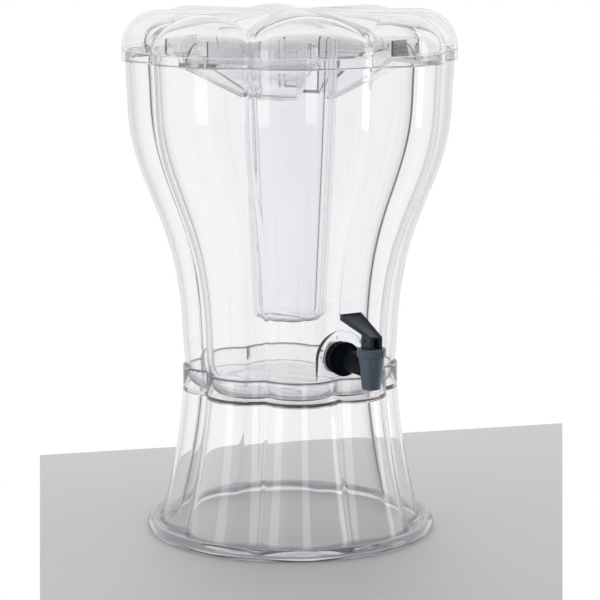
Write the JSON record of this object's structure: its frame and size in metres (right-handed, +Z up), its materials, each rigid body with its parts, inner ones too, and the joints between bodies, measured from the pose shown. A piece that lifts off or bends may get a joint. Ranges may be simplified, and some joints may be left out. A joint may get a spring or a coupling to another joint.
{
  "type": "acrylic beverage dispenser",
  "caption": "Clear fluted drink dispenser: tulip tank in a flared pedestal, petal lid, hanging ice tube with troughed arms, and a lever spigot low on the front.",
  "frame": {"origin": "on the table under the centre of the base's round foot, on the axis of the fluted shells; the spigot puts the middle of the whole outline about 3 mm in front of it", "axes": "+Z up along the axis of the fluted shells, -Y towards the spigot, +X to the right of someone who looks along +Y at the spigot"},
  "size_m": [0.2952, 0.3012, 0.481],
  "materials": {
    "base_acrylic": "clear moulded acrylic",
    "tank_acrylic": "clear moulded acrylic",
    "lid_acrylic": "clear moulded acrylic",
    "tube_acrylic": "clear moulded acrylic, faintly grey",
    "spigot_plastic": "satin black moulded plastic",
    "pin_plastic": "black moulded plastic",
    "nut_plastic": "pale grey moulded plastic",
    "silicone": "grey silicone",
    "gasket_rubber": "black rubber"
  },
  "bodies": {
    "base": {"base_pedestal": "base_acrylic"},
    "vessel": {"tank": "tank_acrylic", "spigot_body": "spigot_plastic", "spigot_bonnet": "spigot_plastic", "outer_gasket": "gasket_rubber", "inner_gasket": "gasket_rubber", "lock_nut": "nut_plastic"},
    "ice_holder": {"ice_tube": "tube_acrylic"},
    "cover": {"lid": "lid_acrylic"},
    "valve": {"spigot_stem": "pin_plastic", "seat_cup": "silicone"},
    "handle": {"lever": "spigot_plastic", "lever_pin": "pin_plastic"}
  },
  "joints": [
    {"name": "tank_lift", "type": "slide", "parent": "base", "child": "vessel", "axis": [0, 0, 1], "range_m": [0, 0.1]},
    {"name": "ice_tube_lift", "type": "slide", "parent": "vessel", "child": "ice_holder", "axis": [0, 0, 1], "range_m": [0, 0.26]},
    {"name": "lid_lift", "type": "slide", "parent": "ice_holder", "child": "cover", "axis": [0, 0, 1], "range_m": [0, 0.08]},
    {"name": "stem_lift", "type": "slide", "parent": "vessel", "child": "valve", "axis": [0, 0, 1], "range_m": [0, 0.0022], "deforming": ["seat_cup"]},
    {"name": "lever_tilt", "type": "hinge", "parent": "valve", "child": "handle", "pos_m": [0, -0.1416, 0.1984], "axis": [-1, 0, 0], "range_deg": [0, 20], "stiffness_Nm_per_rad": 0.02, "springref_deg": -5.73}
  ],
  "couplings": [
    {"joint": "lever_tilt", "follows": "stem_lift", "rad_per_m": 147}
  ]
}
